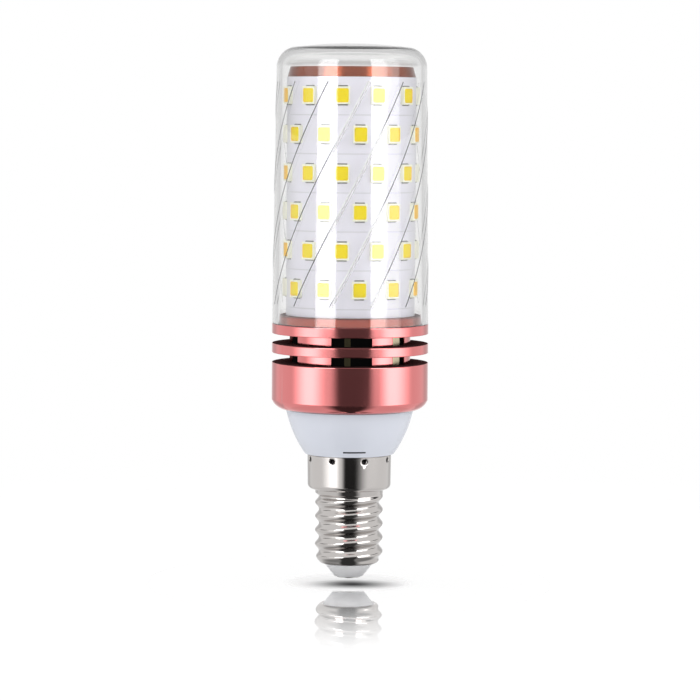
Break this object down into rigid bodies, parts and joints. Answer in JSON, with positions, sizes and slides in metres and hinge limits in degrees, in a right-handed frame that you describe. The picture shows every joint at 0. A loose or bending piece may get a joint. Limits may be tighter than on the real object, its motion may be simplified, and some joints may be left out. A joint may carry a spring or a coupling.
{
  "type": "corn LED bulb",
  "caption": "Slender corn LED bulb with a small screw cap, finned metal heat sink and a clear domed cover over a tube of LEDs.",
  "frame": {"origin": "tip of the centre contact, on the bulb's axis", "axes": "+Z along the bulb's axis from the cap to the dome, -Y towards the picture's front, +X to its right"},
  "size_m": [0.0316, 0.0316, 0.1078],
  "materials": {
    "contact_metal": "bright",
    "insulator": "satin",
    "nickel_shell": "bright nickel",
    "white_housing": "satin",
    "rose_gold": "rose-gold anodised, turned",
    "rose_gold_cap": "rose-gold anodised",
    "black_liner": "gloss",
    "white_board": "solder mask",
    "led_white": "matt",
    "phosphor": "silicone",
    "clear_plastic": "clear",
    "green_board": "solder mask",
    "capacitor_sleeve": "gloss",
    "ferrite": "matt",
    "enamelled_copper": "enamelled copper wire",
    "black_resin": "matt",
    "resistor_ceramic": "satin",
    "fuse_coating": "satin",
    "red_insulation": "satin",
    "black_insulation": "satin"
  },
  "bodies": {
    "root": {"centre_contact": "contact_metal", "cap_insulator": "insulator", "cap_shell": "nickel_shell", "driver_housing": "white_housing", "heat_sink": "rose_gold", "insulating_liner": "black_liner", "led_board": "white_board", "led_housings": "led_white", "led_phosphors": "phosphor", "top_cap": "rose_gold_cap", "clear_cover": "clear_plastic", "driver_board": "green_board", "bulk_capacitor": "capacitor_sleeve", "output_capacitor": "capacitor_sleeve", "inductor_core": "ferrite", "inductor_winding": "enamelled_copper", "bridge_rectifier": "black_resin", "driver_chip": "black_resin", "freewheel_diode": "black_resin", "chip_resistors": "resistor_ceramic", "fuse_resistor": "fuse_coating", "neutral_wire": "black_insulation", "led_lead_positive": "red_insulation", "led_lead_negative": "black_insulation"}
  },
  "joints": []
}
